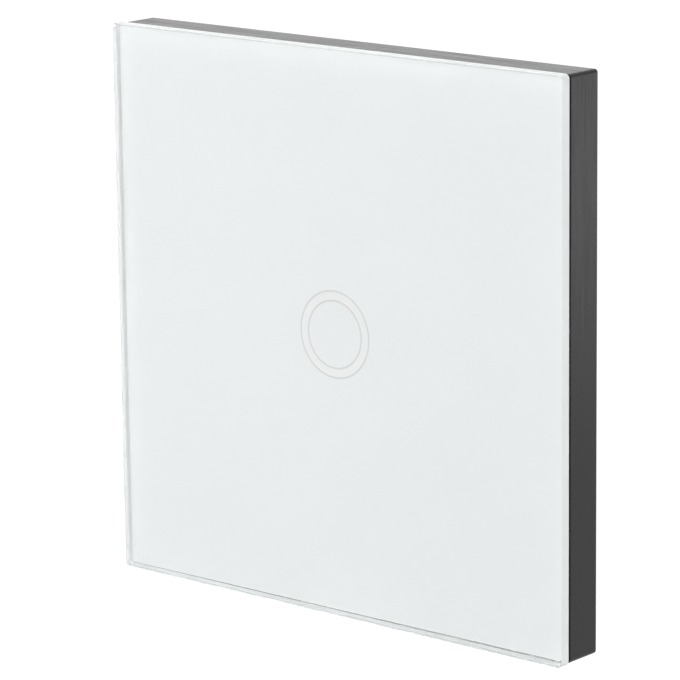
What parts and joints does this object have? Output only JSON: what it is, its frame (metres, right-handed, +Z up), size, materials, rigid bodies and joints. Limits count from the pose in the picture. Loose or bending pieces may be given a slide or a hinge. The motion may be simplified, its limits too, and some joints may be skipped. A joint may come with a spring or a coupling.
{
  "type": "touch light switch",
  "caption": "Square wall light switch with a flat white glass touch panel and a printed light ring on a shallow dark grey frame, over a relay module for a wall box.",
  "frame": {"origin": "centre of the mounting plate's back face, in the wall plane", "axes": "+Z up the wall, +X to the right seen from the room, +Y into the wall, so the glass faces -Y"},
  "size_m": [0.08, 0.0282, 0.08],
  "materials": {
    "clear_glass": "polished",
    "white_enamel": "fired on the back of the glass",
    "ring_ink": "translucent print",
    "black_tape": "matte acrylic tape",
    "grey_abs": "fine moulded grain",
    "zinc_steel": "zinc plated",
    "nylon": "natural nylon",
    "rivet_aluminium": "bright",
    "black_pc": "fine moulded grain",
    "screw_steel": "zinc plated",
    "white_board": "white solder mask",
    "green_board": "green solder mask",
    "gold_copper": "gold plated copper",
    "spring_steel": "tinned spring wire",
    "guide_acrylic": "frosted clear",
    "led_resin": "clear over phosphor",
    "chip_epoxy": "moulded epoxy",
    "chip_ceramic": "fired",
    "socket_black": "moulded",
    "solder_tin": "solder",
    "film_yellow": "moulded box",
    "can_sleeve": "shrink sleeve",
    "varistor_blue": "epoxy coated",
    "fuse_brown": "moulded",
    "ferrite": "sintered",
    "enamelled_copper": "enamelled wire",
    "relay_blue": "moulded",
    "relay_iron": "nickel plated",
    "bobbin_nylon": "moulded",
    "contact_brass": "bright",
    "contact_silver": "silver alloy",
    "block_grey": "moulded polyamide"
  },
  "bodies": {
    "module": {"mounting_plate": "zinc_steel", "snap_bushes": "nylon", "plate_rivets": "rivet_aluminium", "rear_housing": "black_pc", "module_lid": "black_pc", "housing_screws": "screw_steel", "touch_board": "white_board", "touch_pad": "gold_copper", "touch_spring": "spring_steel", "light_guide": "guide_acrylic", "indicator_leds": "led_resin", "touch_chip": "chip_epoxy", "touch_passives": "chip_ceramic", "link_pins": "gold_copper", "link_socket": "socket_black", "board_spacers": "nylon", "power_board": "green_board", "solder_leads": "solder_tin", "film_capacitor": "film_yellow", "electrolytic_capacitor": "can_sleeve", "varistor": "varistor_blue", "fuse": "fuse_brown", "choke_core": "ferrite", "choke_winding": "enamelled_copper", "rectifier": "chip_epoxy", "driver_chip": "chip_epoxy", "power_passives": "chip_ceramic", "relay_base": "socket_black", "relay_case": "relay_blue", "relay_yoke": "relay_iron", "relay_core": "relay_iron", "relay_bobbin": "bobbin_nylon", "relay_winding": "enamelled_copper", "contact_post": "contact_brass", "fixed_contact": "contact_silver", "terminal_block": "block_grey", "contact_bars": "contact_brass"},
    "front_panel": {"glass_panel": "clear_glass", "enamel_coat": "white_enamel", "ring_window": "ring_ink", "bonding_tape": "black_tape", "carrier_frame": "grey_abs"},
    "armature": {"relay_armature": "relay_iron", "contact_leaf": "contact_brass", "moving_contact": "contact_silver"},
    "screw_line": {"terminal_screw_line": "screw_steel"},
    "cage_line": {"clamp_line": "contact_brass"},
    "screw_neutral": {"terminal_screw_neutral": "screw_steel"},
    "cage_neutral": {"clamp_neutral": "contact_brass"},
    "screw_lamp": {"terminal_screw_lamp": "screw_steel"},
    "cage_lamp": {"clamp_lamp": "contact_brass"}
  },
  "joints": [
    {"name": "panel_pull", "type": "slide", "parent": "module", "child": "front_panel", "axis": [0, -1, 0], "range_m": [0, 0.02]},
    {"name": "armature_swing", "type": "hinge", "parent": "module", "child": "armature", "pos_m": [-0.0083, 0.01095, 0.011], "axis": [0, 0, -1], "range_deg": [0, 4], "stiffness_Nm_per_rad": 0.015, "springref_deg": -2.86},
    {"name": "terminal_screw_line_turn", "type": "hinge", "parent": "module", "child": "screw_line", "pos_m": [-0.008, 0.018, -0.016], "axis": [0, -1, 0], "range_deg": [0, 1800.1]},
    {"name": "clamp_line_slide", "type": "slide", "parent": "module", "child": "cage_line", "axis": [0, 1, 0], "range_m": [0, 0.0025]},
    {"name": "terminal_screw_neutral_turn", "type": "hinge", "parent": "module", "child": "screw_neutral", "pos_m": [0, 0.018, -0.016], "axis": [0, -1, 0], "range_deg": [0, 1800.1]},
    {"name": "clamp_neutral_slide", "type": "slide", "parent": "module", "child": "cage_neutral", "axis": [0, 1, 0], "range_m": [0, 0.0025]},
    {"name": "terminal_screw_lamp_turn", "type": "hinge", "parent": "module", "child": "screw_lamp", "pos_m": [0.008, 0.018, -0.016], "axis": [0, -1, 0], "range_deg": [0, 1800.1]},
    {"name": "clamp_lamp_slide", "type": "slide", "parent": "module", "child": "cage_lamp", "axis": [0, 1, 0], "range_m": [0, 0.0025]}
  ],
  "couplings": [
    {"joint": "terminal_screw_line_turn", "follows": "clamp_line_slide", "rad_per_m": 12566},
    {"joint": "terminal_screw_neutral_turn", "follows": "clamp_neutral_slide", "rad_per_m": 12566},
    {"joint": "terminal_screw_lamp_turn", "follows": "clamp_lamp_slide", "rad_per_m": 12566}
  ]
}
